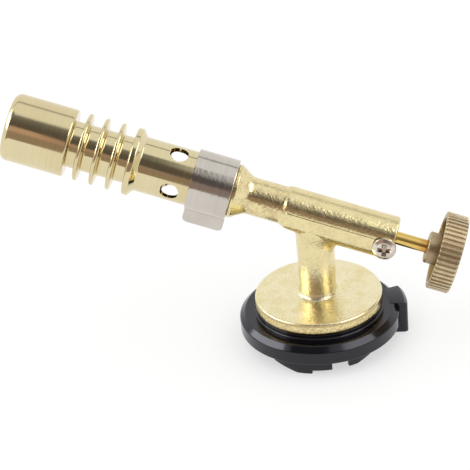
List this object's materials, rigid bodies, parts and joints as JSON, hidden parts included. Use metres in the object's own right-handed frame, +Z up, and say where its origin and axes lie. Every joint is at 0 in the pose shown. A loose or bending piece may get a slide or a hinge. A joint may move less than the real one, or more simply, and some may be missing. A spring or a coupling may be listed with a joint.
{
  "type": "gas torch head",
  "caption": "Brass gas torch head: finned burner tube with air holes and sliding air collar, cast body on a stem, needle valve with knurled knob, and a black bayonet ring for a cartridge.",
  "frame": {"origin": "middle of the object's plan, on the plane that the ring's claws stand on", "axes": "+X from the burner's mouth toward the knob, +Y away from the side with the retaining screw, +Z up along the stem"},
  "size_m": [0.1416, 0.0498, 0.0828],
  "materials": {
    "polished_brass": "turned and polished",
    "cast_brass": "die-cast, fine grain, brass coloured",
    "plain_brass": "turned",
    "dull_brass": "knurled, slightly dull",
    "satin_steel": "satin stainless sheet",
    "nickel_steel": "nickel plated",
    "black_plastic": "moulded, semi-gloss",
    "black_rubber": "plain rubber",
    "sintered_bronze": "sintered, porous"
  },
  "bodies": {
    "torch": {"body_casting": "cast_brass", "burner_tube": "polished_brass", "flame_holder": "plain_brass", "gas_jet": "plain_brass", "jet_filter": "sintered_bronze", "valve_bush": "plain_brass", "bush_seal": "black_rubber", "retaining_screw": "nickel_steel", "bayonet_base": "black_plastic", "base_screw_1": "nickel_steel", "base_screw_2": "nickel_steel", "base_screw_3": "nickel_steel", "inlet_bush": "plain_brass", "inlet_seal": "black_rubber", "inlet_ring": "black_rubber", "inlet_filter": "sintered_bronze"},
    "collar": {"air_collar": "satin_steel"},
    "stem_seal": {"spindle_seal": "black_rubber"},
    "valve_control": {"valve_spindle": "plain_brass", "control_knob": "dull_brass", "knob_screw": "nickel_steel"}
  },
  "joints": [
    {"name": "collar_slide", "type": "slide", "parent": "torch", "child": "collar", "axis": [-0.9511, 0, 0.309], "range_m": [0, 0.015]},
    {"name": "stem_travel", "type": "slide", "parent": "torch", "child": "stem_seal", "axis": [0.9511, 0, -0.309], "range_m": [0, 0.00105]},
    {"name": "knob_turn", "type": "hinge", "parent": "stem_seal", "child": "valve_control", "pos_m": [0.0618, 0, 0.03121], "axis": [0.9511, 0, -0.309], "range_deg": [0, 540]}
  ],
  "couplings": [
    {"joint": "knob_turn", "follows": "stem_travel", "rad_per_m": 8975.9}
  ]
}
